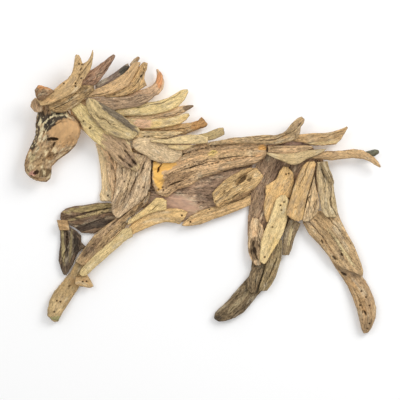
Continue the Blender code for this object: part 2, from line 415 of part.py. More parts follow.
def near_hind_leg():
    piece("gaskin_left", "grey_brown_wood", 1, [
        (13.4, -27.2, 16.4, -27.4), (12.7, -28.8, 16.2, -28.8), (11.8, -31.0, 15.4, -31.0),
        (11.7, -33.2, 14.7, -33.0), (12.6, -34.6, 14.2, -34.4)], SPLIT)
    piece("gaskin_right", "grey_brown_wood", 1, [
        (20.0, -18.8, 21.75, -19.4), (18.8, -21.4, 21.7, -22.0), (17.4, -24.4, 21.5, -24.8),
        (16.8, -27.2, 20.7, -27.4), (16.1, -30.0, 19.9, -30.0), (15.3, -32.2, 18.7, -32.2),
        (15.0, -34.0, 17.4, -33.9)], SPLIT)
    piece("gaskin_rear_slip", "grey_brown_wood", 1, [
        (23.4, -13.6, 26.9, -14.8), (22.4, -16.4, 26.2, -16.8), (21.9, -19.0, 25.0, -19.4),
        (21.8, -21.4, 24.4, -22.0), (21.6, -24.0, 23.6, -23.9)])
    piece("near_hind_cannon_and_hoof", "grey_brown_wood", 0, [
        (13.2, -24.8, 17.4, -25.4), (12.9, -27.4, 17.6, -30.0), (12.3, -29.8, 16.5, -33.4),
        (10.6, -31.6, 14.6, -35.6), (8.4, -34.2, 12.8, -37.8), (6.2, -36.6, 11.0, -39.9),
        (4.1, -38.6, 8.6, -41.5), (2.8, -40.0, 5.8, -42.4), (2.4, -41.7, 3.8, -42.7)], SPLIT,
        rises=[1.05, 1.05, 1.05, 1.05, 1.6, 2.1, 2.3, 2.0, 1.2])


clear_scene()
horse = new_collection(OBJECT_NAME)
cutters = new_collection("cutters")
head_and_forelock()
mane()
neck_and_shoulder()
near_foreleg()
far_foreleg()
barrel()
croup_and_tail()
haunch()
far_hind_leg()
near_hind_leg()
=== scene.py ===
"""Looks of the driftwood horse: split grain, worn ends, worm holes and a weathered colour for each board,
with shade painted into its recesses and along its sides.

Lengths in the tables are centimetres in the part's frame: x along the horse, z up, y towards the wall.
"""

import math

import bpy
import numpy as np
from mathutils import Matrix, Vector


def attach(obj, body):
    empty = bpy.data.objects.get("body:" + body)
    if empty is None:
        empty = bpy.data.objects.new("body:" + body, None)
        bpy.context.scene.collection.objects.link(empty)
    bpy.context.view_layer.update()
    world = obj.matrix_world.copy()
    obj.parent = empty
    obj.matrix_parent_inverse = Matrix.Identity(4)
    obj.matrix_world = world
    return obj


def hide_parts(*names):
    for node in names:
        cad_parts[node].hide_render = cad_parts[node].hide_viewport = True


CM = 0.01

# The fine mesh of a board: voxel sizes in cm, and the surface cells aimed at on one board.
FINEST_VOXEL = 0.125           # for slim splinters
COARSEST_VOXEL = 0.215         # for wide boards
CELLS_A_PIECE = 6500
EDGE_ROUNDS = 3                # how often the sharp edges are smoothed

# Relief cut into the boards, in cm. Furrows and pits are also multiplied by how strong a board's grain is.
SWELL_DEPTH = 0.12
LUMP_DEPTH = 0.07
FURROW_DEPTH = 0.12
PIT_DEPTH = 0.10
SPLIT_DEPTH = 0.4
EDGE_BITE = 0.25
FLAKE_DEPTH = 0.22             # where the skin of the head has come off
HEAD_STEP = 0.45               # that the head's rounded masses stand out by
WORM_HOLE = 0.34               # radius
WORM_HOLE_DEPTH = 0.45
WORN_END = 0.6                 # how far wear goes into an end, at most
WORN_SHARE = 0.04              # of the board's length, where that is less

# Shapes of the relief, in cm.
LUMP_SIZE = 0.55
SLIMMEST_SPLIT = 0.10
SPLIT_SPREAD = 0.07            # that the widest split is wider by
SPLIT_WANDER = 0.3             # how far a split strays to the side
SPLIT_BEND = 1.6               # length along the grain in which it does
RAG_SIZE = 0.45                # of the ragged edge of a hollow or a mass
BUNDLE = (0.4, 0.6)            # width and thickness of the bundles of fibres at an end

# Where an ellipse of the tables counts, from its edge inwards: 0 is its edge and 1 its middle.
SPOT_RIM = (-0.05, 0.2)
MASS_RIM = (-0.04, 0.12)
CHEEK_RIM = (-0.1, 0.1)
HOLLOW_WALL = (0.0, 0.5)

# Patterns drawn out along the grain: length along it and width across it in cm, the number of the pattern,
# and its layers of detail.
SWELLS = (4.0, 1.5, 1, 2)
FURROWS = (7.0, 0.62, 2, 2)
KNOTTY_FURROWS = (2.0, 0.62, 2, 2)
BITES = (1.8, 0.9, 4, 2)
PITS = (1.3, 0.42, 7, 2)
STREAKS = (6.0, 0.5, 21, 3)
KNOTTY_STREAKS = (1.2, 0.8, 21, 3)
BLEACHED_CRESTS = (3.0, 1.0, 22, 3)
WARM_PATCHES = (2.4, 1.2, 23, 3)
GREY_PATCHES = (3.0, 1.1, 24, 3)
STAIN_EDGES = (1.2, 0.5, 25, 3)
FLAKES = (1.1, 0.5, 31, 2)

# How strongly shade is painted into furrows, pits and the boards' sides, and how smooth a worn place is,
# from 0 to 1.
FURROW_SHADE = 0.42
PIT_SHADE = 0.72
SIDE_SHADE = 0.6
DEEPEST_SHADE = 0.84
SMOOTHNESS = 0.85

# Colours of wear and of painted shade, as sRGB codes, and how much of each shows where it is strongest.
BLEACHED = "eadbb8"
GREYED = "8a7b6c"
PALE_FLAKE = "ddc99e"
DARK_FLAKE = "4c3a28"
# near-black painted shade for splits, hollows, holes, furrows, pits and the boards' sides
SHADE_COLOUR = "3a291a"
WARMING = np.array([1.12, 0.84, 0.66])      # what a warm patch multiplies red, green and blue by
BLEACHED_SHARE = 0.34
WARM_SHARE = 0.35
GREY_SHARE = 0.4
PALE_FLAKE_SHARE = 0.75
DARK_FLAKE_SHARE = 0.6
PALER = 1.30                   # dry wood is paler than its mean colour with shade and pits in it,
PALER_FALL = 0.52              # and the dark boards more so than the pale ones

# Fine figure of the material: cells in a cm along the grain and across it, detail and roughness of noise.
SPECKS = (1.3, 3.2, 4.0, 0.7)
FIBRES = (0.9, 7.0, 5.0, 0.65)
PORES = (2.6, 22.0, 3.0, 0.6)
BLOTCHES = (0.5, 1.1, 4.0, 0.6)
GREY_BLOTCH = (0.80, 0.82, 0.88, 1.0)
BUMP_HEIGHT = 0.0016           # metres

# The stage, in metres and watts.
WALL_SIZE = 12.0
WALL_BEHIND = 0.004            # the boards that lie against it
LIT_MIDDLE = (-0.01, 0.0, -0.06)
LIGHTS = [                     # name, place, width, power
    ("key", (2.3, -2.3, 2.0), 2.0, 78.0),
    ("fill", (-1.6, -2.8, 0.9), 1.7, 16.0),
    ("back", (-1.2, 2.8, 1.6), 2.0, 60.0),
]
SKY_STRENGTH = 0.73
VIEW_WIDTH = 1.12              # of the wall, across the picture
VIEW_MIDDLE = (-0.014, -0.084)
FACES_OUT = 0.025              # about how far the boards' faces stand off the wall
LENS = 160.0                   # mm
SENSOR = 36.0                  # mm

# Every board draws its patterns and splits from a seed of its own.
FIRST_SEED = 101
SEED_STEP = 37

# Each board: base colour, how strong its grain is, how many long splits it has.
LOOKS = {
    "head": ("aa8b66", 0.35, 1),
    "ear_fork": ("c0a072", 0.45, 1),
    "forelock_knob": ("86684a", 0.8, 1),
    "brow_stub": ("b19270", 0.6, 0),
    "forehead_bar": ("9c8058", 1.0, 2),
    "mane_red_spike": ("91725a", 0.9, 2),
    "mane_slate": ("766355", 0.7, 1),
    "mane_splinter": ("8c7152", 0.7, 0),
    "mane_wide_tan": ("c2a074", 0.5, 1),
    "mane_rough": ("c09e6e", 1.0, 3),
    "mane_hook": ("c8a682", 0.5, 0),
    "mane_grey_brown": ("a0866a", 0.9, 2),
    "mane_yellow": ("d8be86", 0.4, 1),
    "mane_dark_tipped": ("c2a47c", 0.6, 1),
    "mane_pink_based": ("d0b278", 0.35, 0),
    "mane_flared": ("c4a070", 0.8, 1),
    "mane_brown_splinter": ("dcc08e", 0.8, 1),
    "mane_square_ended": ("aa9468", 0.5, 0),
    "mane_long_pale": ("d8be8c", 0.4, 0),
    "mane_short_tip": ("c4aa7a", 0.4, 0),
    "withers_slab": ("cbb18a", 0.5, 1),
    "neck_leaf": ("bba476", 0.6, 1),
    "neck_plank": ("d4bc84", 0.6, 0),
    "chest_strip": ("dec294", 0.45, 0),
    "neck_board": ("dab78c", 0.9, 1),
    "shoulder_board": ("c2a682", 1.0, 4),
    "near_forearm": ("ac8f68", 1.0, 3),
    "near_leg_pale_strip": ("cfb682", 0.4, 0),
    "fetlock_spur": ("b19266", 0.5, 0),
    "near_cannon_and_hoof": ("a2885f", 0.4, 0),
    "far_forearm": ("735c46", 1.1, 4),
    "far_knee_chip": ("a4835a", 0.5, 0),
    "far_cannon": ("5f4f3e", 1.1, 4),
    "barrel_board": ("b09276", 1.1, 4),
    "breast_block": ("d6b87f", 0.5, 1),
    "belly_front_strip": ("cdaa74", 0.45, 0),
    "belly_tan_strip": ("c8a574", 0.6, 1),
    "flank_slat": ("c8a673", 1.0, 3),
    "back_board": ("bd9c74", 1.3, 6),
    "back_ridge": ("b0946c", 0.9, 2),
    "tail_upper": ("b8976b", 0.7, 1),
    "croup_dark_strip": ("947768", 0.8, 1),
    "croup_tan_strip": ("c0a078", 0.7, 1),
    "rump_boat": ("b49c72", 0.4, 0),
    "tail_long": ("bd9c71", 0.7, 1),
    "tail_dark_tip": ("5f5e4c", 0.6, 0),
    "haunch_board": ("a08468", 1.1, 3),
    "thigh_glove": ("e1b97d", 0.5, 0),
    "thigh_blade": ("dac08b", 0.4, 0),
    "stifle_piece": ("d4b48a", 0.9, 2),
    "thigh_centre_plank": ("c4a16e", 0.5, 1),
    "thigh_rear_plank": ("c6a97f", 1.0, 2),
    "buttock_board": ("b7a078", 0.8, 2),
    "buttock_chip": ("a68f68", 0.7, 1),
    "far_hind_thigh": ("b2956d", 0.9, 3),
    "far_hind_cannon_and_hoof": ("a88b67", 0.6, 1),
    "gaskin_left": ("806d51", 1.1, 2),
    "gaskin_right": ("97835f", 1.1, 3),
    "gaskin_rear_slip": ("8a7658", 0.9, 1),
    "near_hind_cannon_and_hoof": ("705f46", 1.1, 3),
}

# Boards cut across knots or end grain, whose figure is speckled and not streaked.
KNOTTY = {"head", "withers_slab", "forelock_knob", "forehead_bar", "near_cannon_and_hoof", "croup_tan_strip"}

# The rounded masses of the head, which stand out from the rest of it: (x, z, half length, half width, turn).
HEAD_MASSES = [
    (-39.2, 10.2, 5.0, 4.6, 20), (-46.4, 1.6, 4.4, 3.6, 60), (-46.0, 8.2, 1.9, 1.3, 70),
    (-41.0, 5.9, 2.6, 1.4, 35),
]
CHEEK = (-39.0, 10.6, 5.0, 4.5, 0)      # the smooth part of the head; the rest of it flakes

# Stains and bare places: board: [(x, z, half length, half width, turn in degrees, colour, strength)].
STAINS = {
    "head": [(-39.0, 10.6, 4.8, 4.4, 0, "bd9668", 0.85), (-46.4, 2.4, 4.4, 3.6, 60, "a08660", 0.5),
             (-42.6, 3.8, 1.8, 1.2, 20, "7c5a34", 0.65), (-42.5, 14.7, 5.0, 1.7, 14, "3a342d", 0.95),
             (-45.8, 14.6, 2.0, 1.6, 80, "403a31", 0.9), (-43.9, 12.3, 2.3, 1.5, 38, "35302a", 0.95),
             (-47.2, 10.4, 4.4, 0.7, 86, "453c30", 0.85), (-48.2, 6.8, 1.7, 0.9, 56, "3b342a", 0.9),
             (-43.2, 14.9, 1.8, 0.3, 34, "dccda4", 0.9), (-40.4, 15.6, 2.0, 0.26, 8, "dccda4", 0.9),
             (-44.5, 13.7, 0.9, 0.3, 40, "d8c8a0", 0.85), (-46.2, 13.3, 1.2, 0.55, 80, "dccda4", 0.9),
             (-45.8, 11.2, 1.1, 0.6, 60, "d8c8a0", 0.9), (-45.9, 9.3, 1.6, 0.5, 75, "e0cfa8", 0.9),
             (-44.7, 9.0, 1.4, 0.35, 60, "e0cfa8", 0.8), (-42.4, 13.1, 1.0, 0.2, 45, "cfc09a", 0.8),
             (-38.2, 15.2, 1.4, 0.26, -30, "dccda4", 0.85), (-46.8, 5.8, 0.9, 0.4, 60, "e0cfa8", 0.8),
             (-49.3, 4.4, 1.3, 0.35, 70, "dccda4", 0.7), (-48.3, 3.2, 1.4, 0.8, 50, "c0ad80", 0.7),
             (-48.1, -1.1, 1.3, 0.8, 20, "c98f80", 0.7), (-44.5, -0.8, 2.1, 1.5, 10, "5f4a2c", 0.8),
             (-38.0, 7.6, 2.6, 1.0, 40, "9c7850", 0.5)],
    "forelock_knob": [(-44.6, 23.0, 2.6, 0.8, -8, "cf9460", 0.8)],
    "neck_leaf": [(-24.6, 15.2, 8.5, 1.1, -38, "665b4d", 0.9),
                  (-29.4, 12.0, 6.0, 0.5, -50, "7a684f", 0.6)],
    "neck_plank": [(-23.6, 5.0, 7.4, 3.8, -48, "a88a6c", 0.85), (-20.8, 2.2, 2.6, 2.0, 30, "8a7058", 0.7)],
    "mane_slate": [(-22.4, 28.0, 1.8, 1.2, 40, "3d4038", 0.8)],
    "mane_dark_tipped": [(-4.6, 17.6, 1.8, 0.8, 20, "5c4a3a", 0.8)],
    "mane_pink_based": [(-17.4, 13.0, 3.0, 1.6, 0, "cfa088", 0.6)],
    "mane_hook": [(-12.6, 25.4, 2.6, 1.0, 86, "d08a54", 0.75)],
    "mane_flared": [(-1.2, 13.0, 3.4, 2.0, 30, "a8763f", 0.7)],
    "near_cannon_and_hoof": [
        (-41.6, -41.6, 2.0, 0.8, 0, "8a9264", 0.6), (-42.0, -38.4, 3.0, 2.6, 60, "c8ad7e", 0.5)],
    "far_forearm": [(-32.0, -10.6, 8.5, 1.0, 8, "a08c5e", 0.85),
                    (-32.4, -12.6, 6.6, 0.5, 14, "b59e70", 0.85),
                    (-31.0, -15.4, 6.0, 1.2, 14, "33271f", 0.8)],
    "far_cannon": [(-39.9, -21.6, 6.6, 0.5, 92, "a8966a", 0.85),
                   (-37.7, -21.0, 5.0, 0.4, 86, "8f7f58", 0.8),
                   (-36.2, -20.6, 3.4, 1.0, 90, "30271f", 0.8)],
    # The barrel board's second patch makes it darker over its upper part, below the back board.
    "barrel_board": [(-9.0, -9.2, 6.6, 2.8, -10, "b9957c", 0.9), (2.0, -6.0, 6.0, 3.0, 20, "7d6450", 0.7)],
    "back_board": [(-13.2, -1.6, 4.4, 1.5, 100, "eab65c", 0.9), (-11.4, 0.8, 3.6, 1.1, 12, "eab660", 0.9),
                   (2.2, 4.7, 1.4, 0.9, 20, "dcc070", 0.8), (16.2, 6.2, 1.4, 0.8, 0, "dba55c", 0.85),
                   (-6.4, 4.3, 0.8, 0.5, 0, "ddc79a", 0.8), (-8.0, -3.0, 4.6, 2.2, 14, "8c6c4c", 0.5),
                   (6.4, 4.2, 8.6, 1.1, 4, "b7996d", 0.5)],
    # The flank slat's second stain is painted shade, in the hollow at the same place.
    "flank_slat": [(8.4, -9.0, 6.4, 1.0, 34, "8b6a48", 0.8), (10.1, -2.7, 2.6, 1.0, 42, "84663f", 0.85)],
    "tail_upper": [(33.2, 7.5, 5.4, 0.5, 4, "dcc08a", 0.7)],
    "haunch_board": [(20.0, -4.0, 8.0, 2.4, 80, "6d5344", 0.5),
                     (14.0, -12.0, 7.0, 1.0, 88, "a08464", 0.6)],
    "stifle_piece": [(13.7, -22.0, 3.4, 1.3, 88, "57432f", 0.75)],
    "thigh_blade": [(19.4, -22.4, 4.0, 1.6, 80, "d2b06c", 0.5)],
    "far_hind_thigh": [(37.8, -21.2, 7.4, 0.55, -55, "d9c493", 0.8),
                       (33.4, -16.2, 6.0, 2.0, -60, "a5865c", 0.5)],
    "far_hind_cannon_and_hoof": [
        (42.4, -35.0, 6.0, 1.6, -62, "a98353", 0.5), (45.6, -43.4, 2.0, 1.4, 90, "7e664a", 0.6)],
    "gaskin_rear_slip": [(23.9, -18.4, 3.6, 0.4, 78, "c4b083", 0.8)],
    "near_hind_cannon_and_hoof": [
        (9.8, -36.6, 5.6, 0.7, 46, "9c8a68", 0.7), (3.6, -41.6, 1.4, 1.0, 0, "4b4033", 0.7)],
    "near_forearm": [(-21.4, -13.9, 1.0, 0.5, 45, "e8dcc0", 0.9),
                     (-26.0, -15.4, 9.0, 0.7, 42, "b59673", 0.6),
                     (-31.6, -21.6, 4.4, 1.0, 46, "6f5540", 0.6)],
    "shoulder_board": [(-20.6, -1.4, 7.0, 1.0, 64, "c7ac84", 0.6),
                       (-23.4, -8.6, 4.0, 1.2, 60, "957856", 0.6)],
}

# Slots and hollows rotted or split into the boards, with shade painted in them, darker the deeper they are:
# (x, z, half length, half width, turn in degrees, depth).
HOLLOWS = {
    "head": [(-42.0, 8.6, 1.5, 0.4, -4, 0.9), (-43.4, 8.5, 1.0, 0.3, 8, 0.7),
             (-43.9, 9.3, 0.6, 0.22, 120, 0.5), (-44.8, 8.1, 0.9, 0.16, 58, 0.35),
             (-42.0, 7.1, 1.0, 0.18, 55, 0.4), (-42.8, 6.0, 0.5, 0.3, 80, 0.5),
             (-41.6, 12.7, 3.4, 0.2, 34, 0.4), (-38.0, 14.3, 2.2, 0.16, -22, 0.35),
             (-39.6, 13.4, 1.6, 0.12, 4, 0.25), (-47.0, -0.7, 1.0, 0.45, 24, 0.6),
             (-48.0, -2.2, 1.5, 0.2, -28, 0.6), (-48.2, 4.2, 0.9, 0.18, -16, 0.3),
             (-45.2, 3.6, 0.8, 0.2, -10, 0.3), (-45.3, 2.7, 0.3, 0.3, 0, 0.3),
             (-48.0, 2.2, 0.9, 0.2, 50, 0.3), (-46.2, 1.4, 1.2, 0.22, 20, 0.35),
             (-43.4, 3.7, 0.9, 0.35, 30, 0.5), (-42.1, 6.9, 1.0, 0.34, 62, 0.6),
             (-41.4, 4.3, 0.5, 0.25, 20, 0.4), (-49.4, -0.4, 1.4, 0.2, -50, 0.3),
             (-39.2, 6.6, 0.5, 0.22, 0, 0.25), (-37.6, 9.4, 0.4, 0.18, 0, 0.2),
             (-36.8, 10.3, 0.35, 0.15, 0, 0.2), (-45.6, 15.0, 1.6, 0.2, 70, 0.3),
             (-38.8, 4.9, 1.6, 0.16, 24, 0.3)],
    "ear_fork": [(-34.5, 27.9, 0.7, 0.2, 60, 0.5), (-35.0, 26.4, 0.5, 0.2, 60, 0.5)],
    "neck_plank": [(-19.9, 2.2, 1.5, 0.5, -50, 0.9), (-21.6, 4.4, 2.2, 0.35, -52, 0.6),
                   (-23.4, 3.2, 1.8, 0.3, -46, 0.5), (-22.3, 6.7, 1.6, 0.26, -50, 0.5),
                   (-21.0, 1.2, 1.2, 0.25, -40, 0.5)],
    "back_board": [(-12.8, 0.5, 1.6, 0.38, 62, 1.2), (-6.4, 4.3, 0.6, 0.35, 0, 0.5),
                   (-2.0, 1.2, 3.2, 0.3, 16, 0.8), (6.6, 3.4, 4.4, 0.26, 8, 0.7),
                   (-8.6, -3.8, 3.0, 0.28, 20, 0.8)],
    "back_ridge": [(26.4, 12.6, 0.9, 0.22, 50, 0.4)],
    "flank_slat": [(10.3, -2.8, 2.2, 0.55, 41, 0.55), (12.4, -2.6, 1.2, 0.3, 30, 0.6),
                   (4.9, -6.5, 1.2, 0.24, 38, 0.5), (8.5, -7.2, 2.0, 0.26, 40, 0.5)],
    "stifle_piece": [(13.5, -20.8, 1.2, 0.35, 80, 0.5), (13.9, -22.8, 1.6, 0.5, 96, 0.8),
                     (14.5, -24.3, 1.2, 0.4, 110, 0.6), (12.9, -23.0, 0.9, 0.3, 85, 0.5),
                     (15.2, -21.0, 0.8, 0.2, 84, 0.4), (14.9, -16.6, 1.2, 0.16, 88, 0.4)],
    "buttock_board": [(33.1, -1.1, 2.4, 0.26, -66, 0.6)],
    "far_hind_thigh": [(32.8, -20.1, 0.8, 0.3, -72, 0.6), (41.0, -20.6, 0.4, 0.35, 0, 0.4),
                       (36.2, -24.6, 0.9, 0.5, -50, 0.7), (38.3, -23.6, 0.7, 0.32, -60, 0.7)],
    "far_hind_cannon_and_hoof": [(38.9, -29.1, 1.2, 0.45, -24, 0.8), (44.9, -40.1, 1.0, 0.34, -64, 0.8)],
    "far_forearm": [(-31.0, -11.6, 6.6, 0.3, 12, 0.7)],
    "far_cannon": [(-38.8, -21.4, 5.0, 0.28, 90, 0.6)],
    "near_forearm": [(-24.0, -13.6, 5.0, 0.28, 42, 0.6), (-18.6, -10.6, 2.4, 0.45, 50, 0.5),
                     (-17.4, -8.0, 1.6, 0.3, 56, 0.5), (-20.6, -12.2, 1.4, 0.35, 40, 0.4),
                     (-27.0, -17.4, 2.4, 0.24, 40, 0.4)],
    "shoulder_board": [(-20.0, -4.0, 4.6, 0.28, 64, 0.6), (-17.6, 0.6, 3.0, 0.24, 68, 0.6)],
    "near_cannon_and_hoof": [(-38.1, -32.5, 0.5, 0.3, 30, 0.5)],
    "thigh_centre_plank": [(25.1, -10.6, 0.5, 0.13, 70, 0.4), (25.6, -10.5, 0.5, 0.13, 70, 0.4)],
    # The first is a seam along the centre plank's right edge, cut in for the painted shade of the gap beside
    # that plank.
    "thigh_rear_plank": [(29.2, -5.2, 8.8, 0.42, 75, 0.7), (31.0, -9.8, 2.4, 0.22, 80, 0.4)],
    "rump_boat": [(24.0, 1.0, 0.6, 0.16, 0, 0.4), (23.0, 0.4, 1.6, 0.16, -12, 0.4)],
    "croup_tan_strip": [(23.6, 3.6, 1.0, 0.16, -12, 0.4), (28.6, 4.9, 2.2, 0.14, 20, 0.4)],
}

# Places worn smooth, with little grain to see: (x, z, half length, half width, turn in degrees).
SMOOTH = {
    "head": [(-38.8, 11.2, 4.2, 3.6, 0)],
    "back_board": [(-13.4, -1.4, 5.0, 1.9, 100), (-11.2, 0.8, 4.6, 1.6, 12)],
    "barrel_board": [(-8.6, -9.6, 7.2, 3.2, -10)],
}

# Round worm and nail holes, with shade painted in them: (x, z).
WORM_HOLES = {
    "ear_fork": [(-35.0, 29.4), (-34.1, 29.3), (-34.4, 25.4), (-36.0, 24.0), (-36.0, 23.2), (-39.3, 24.0)],
    "neck_plank": [(-34.0, 13.6), (-32.1, 11.7)],
    "chest_strip": [(-27.3, -7.2)],
    "shoulder_board": [(-22.6, -3.3), (-17.3, -4.9), (-17.3, 0.4)],
    "fetlock_spur": [(-34.3, -31.3), (-33.2, -31.2)],
    "near_cannon_and_hoof": [(-41.6, -36.6), (-40.5, -36.9), (-42.3, -39.8)],
    "belly_front_strip": [(-6.5, -12.8)],
    "belly_tan_strip": [(-4.1, -14.5), (1.2, -10.9)],
    "flank_slat": [(2.9, -8.9)],
    "back_board": [(-13.0, -5.5), (-11.9, -4.9), (-11.7, -5.7)],
    "thigh_glove": [(22.7, -1.2), (23.5, -1.0)],
    "thigh_blade": [(21.4, -11.3), (21.1, -9.9), (18.8, -16.0), (22.1, -9.0), (16.7, -24.4)],
    "far_hind_cannon_and_hoof": [
        (45.2, -35.6), (46.1, -38.0), (43.4, -37.9), (46.1, -43.1), (45.5, -44.6), (43.8, -34.0)],
}


def linear(code):
    """A six-digit sRGB colour code as linear values."""
    values = []
    for i in (0, 2, 4):
        c = int(code[i:i + 2], 16) / 255
        values.append(c / 12.92 if c <= 0.04045 else ((c + 0.055) / 1.055) ** 2.4)
    return np.array(values)


def lattice_value(i, j, k, seed):
    """A fixed pseudo-random value from 0 to 1 for each lattice point."""
    mixed = (i * 73856093) ^ (j * 19349663) ^ (k * 83492791) ^ (seed * 2654435761)
    mixed = (mixed ^ (mixed >> 13)) * 1274126177
    mixed = (mixed ^ (mixed >> 16)) & 0xFFFFFF
    return mixed / float(0xFFFFFF)


def noise(points, seed):
    """Smooth value noise from -1 to 1 at points (n, 3)."""
    base = np.floor(points).astype(np.int64)
    part = points - base
    part = part * part * (3 - 2 * part)
    total = np.zeros(len(points))
    for dx in (0, 1):
        for dy in (0, 1):
            for dz in (0, 1):
                weight = (part[:, 0] if dx else 1 - part[:, 0])
                weight = weight * (part[:, 1] if dy else 1 - part[:, 1])
                weight = weight * (part[:, 2] if dz else 1 - part[:, 2])
                total += weight * lattice_value(base[:, 0] + dx, base[:, 1] + dy, base[:, 2] + dz, seed)
    return total * 2 - 1


def smooth_step(start, end, values):
    """Eases from 0 at start to 1 at end."""
    part = np.clip((values - start) / (end - start), 0, 1)
    return part * part * (3 - 2 * part)


class Grain:
    """The way the fibres of one board run: its long axis in the x-z plane and its middle line's bend."""

    def __init__(self, corners):
        flat = corners[:, [0, 2]]
        self.centre = (flat.min(0) + flat.max(0)) / 2
        spread = np.cov((flat - flat.mean(0)).T)
        vectors = np.linalg.eigh(spread)[1]
        self.axis = vectors[:, 1] if vectors[0, 1] >= 0 else -vectors[:, 1]
        self.side = np.array([-self.axis[1], self.axis[0]])
        along, across = self.turned(corners)
        self.start = along.min()
        self.end = along.max()
        self.length = self.end - self.start
        self.bend = self.middle_line(along, across)
        self.half = max(0.4, np.percentile(np.abs(across - np.polyval(self.bend, along)), 90))

    def turned(self, points):
        """How far points lie along the long axis and to its side."""
        flat = points[:, [0, 2]] - self.centre
        return flat @ self.axis, flat @ self.side

    def middle_line(self, along, across):
        """A cubic through the middles of the board's twelve stretches, or a level line if most are empty."""
        stations = np.linspace(self.start, self.end, 13)
        places, middles = [], []
        for low, high in zip(stations, stations[1:]):
            near = (along >= low - 0.4) & (along <= high + 0.4)
            if near.sum() > 1:
                places.append((low + high) / 2)
                middles.append((across[near].min() + across[near].max()) / 2)
        return np.polyfit(places, middles, 3) if len(places) > 4 else np.array([np.mean(middles)])

    def coordinates(self, points):
        """(along, across, depth) in cm for points (n, 3) in cm."""
        along, across = self.turned(points)
        return np.stack([along, across - np.polyval(self.bend, along), points[:, 1]], axis=1)


class Board:
    """The points of one board's fine mesh, the way they face and where they lie in its grain."""

    def __init__(self, name, corners, points, normals, seed):
        self.name = name
        self.base, self.groove, self.splits = LOOKS[name]
        self.seed = seed
        self.points = points
        self.normals = normals
        self.fibres = Grain(corners)
        self.grain = self.fibres.coordinates(points)
        self.facing = np.clip(-normals[:, 1], 0, 1)
        self.sideways = 1 - np.abs(normals[:, 1])
        self.shown = smooth_step(0.6, -0.1, normals[:, 1])
        self.calm = np.ones(len(points))
        for spot in SMOOTH.get(name, []):
            worn = self.shown * smooth_step(*SPOT_RIM, self.inside(spot))
            self.calm = np.minimum(self.calm, 1 - SMOOTHNESS * worn)

    def inside(self, spot):
        """1 in the middle of a turned ellipse, 0 on its edge and below 0 outside it."""
        x, z, half_length, half_width, turn = spot[:5]
        right = self.points[:, 0] - x
        up = self.points[:, 2] - z
        angle = math.radians(turn)
        along = right * math.cos(angle) + up * math.sin(angle)
        across = -right * math.sin(angle) + up * math.cos(angle)
        return 1 - np.sqrt((along / half_length) ** 2 + (across / half_width) ** 2)

    def figure(self, pattern):
        """Noise from -1 to 1, drawn out along the grain."""
        along, across, number, layers = pattern
        scale = np.array([1 / along, 1 / across, 1 / across])
        total, weight = np.zeros(len(self.grain)), 0.0
        for layer in range(layers):
            strength = 0.5 ** layer
            total += strength * noise(self.grain * scale * 2 ** layer, self.seed + number + 17 * layer)
            weight += strength
        return total / weight

    def flakes(self):
        """The rough skin of the head outside its cheek, from 0 to 1, and the pattern that it flakes in."""
        rough = 1 - smooth_step(*CHEEK_RIM, self.inside(CHEEK))
        return rough, self.figure(FLAKES)


def remeshed(node):
    """A fine even mesh of the board's solid, with its sharp edges a little worn."""
    area = sum(p.area for p in node.data.polygons) / CM ** 2
    voxel = min(COARSEST_VOXEL, max(FINEST_VOXEL, math.sqrt(area / CELLS_A_PIECE)))
    work = bpy.data.objects.new("work", node.data.copy())
    bpy.context.scene.collection.objects.link(work)
    weld = work.modifiers.new("weld", "WELD")
    weld.merge_threshold = 0.00001
    remesh = work.modifiers.new("remesh", "REMESH")
    remesh.mode = "VOXEL"
    remesh.voxel_size = voxel * CM
    worn = work.modifiers.new("worn", "SMOOTH")
    worn.factor = 0.5
    worn.iterations = EDGE_ROUNDS
    shape = work.evaluated_get(bpy.context.evaluated_depsgraph_get())
    mesh = bpy.data.meshes.new_from_object(shape)
    bpy.data.objects.remove(work, do_unlink=True)
    return mesh


def weathered_faces(board):
    """Swells, lumps, furrows and pits of the face and bites out of the edges. Returns depth and painted
    shade, darker in furrows and pits and on the boards' sides.
    """
    swell = 0.5 + 0.5 * board.figure(SWELLS)
    lumps = 0.5 + 0.5 * noise(board.points / LUMP_SIZE, board.seed + 3)
    ridges = 1 - np.abs(board.figure(KNOTTY_FURROWS if board.name in KNOTTY else FURROWS))
    furrow = smooth_step(0.78, 1.0, ridges)
    pits = smooth_step(0.30, 0.75, board.figure(PITS))
    bites = smooth_step(0.15, 0.7, board.figure(BITES))
    rough = board.groove * board.calm * (FURROW_DEPTH * furrow + PIT_DEPTH * pits)
    depth = board.facing * (SWELL_DEPTH * swell + LUMP_DEPTH * lumps + rough)
    depth += EDGE_BITE * board.sideways * bites
    # Painted shade: darker in furrows and pits, and on the boards' sides, where the gaps between boards are.
    painted_shade = np.maximum(FURROW_SHADE * furrow, PIT_SHADE * pits) * min(1.0, board.groove) * board.calm
    return depth, np.maximum(painted_shade, SIDE_SHADE * smooth_step(0.4, 1.0, board.sideways))


def long_splits(board):
    """Wandering splits along the grain, in places drawn by chance. Returns depth and the shade painted into
    the splits.
    """
    along, across = board.grain[:, 0], board.grain[:, 1]
    fibres = board.fibres
    margin = 0.2 * fibres.length
    draw = np.random.default_rng(board.seed)
    depth, painted_shade = np.zeros(len(along)), np.zeros(len(along))
    for number in range(board.splits):
        where = fibres.half * draw.uniform(-0.75, 0.75)
        middle = draw.uniform(fibres.start + margin, fibres.end - margin)
        reach = fibres.length * draw.uniform(0.12, 0.3)
        width = SLIMMEST_SPLIT + SPLIT_SPREAD * draw.random()
        path = np.stack([along / SPLIT_BEND, np.full(len(along), number * 7.3), np.zeros(len(along))], 1)
        wander = SPLIT_WANDER * noise(path, board.seed + 9)
        taper = np.clip(1 - np.abs(along - middle) / reach, 0, 1) ** 0.5
        nearness = 1 - np.abs(across - where - wander) / (width * (0.3 + 0.7 * taper) + 1e-6)
        gap = np.clip(nearness, 0, 1) * (taper > 0)
        depth += SPLIT_DEPTH * gap ** 0.7 * board.facing * board.calm
        painted_shade = np.maximum(painted_shade, board.shown * board.calm * smooth_step(0.15, 0.7, gap))
    return depth, painted_shade


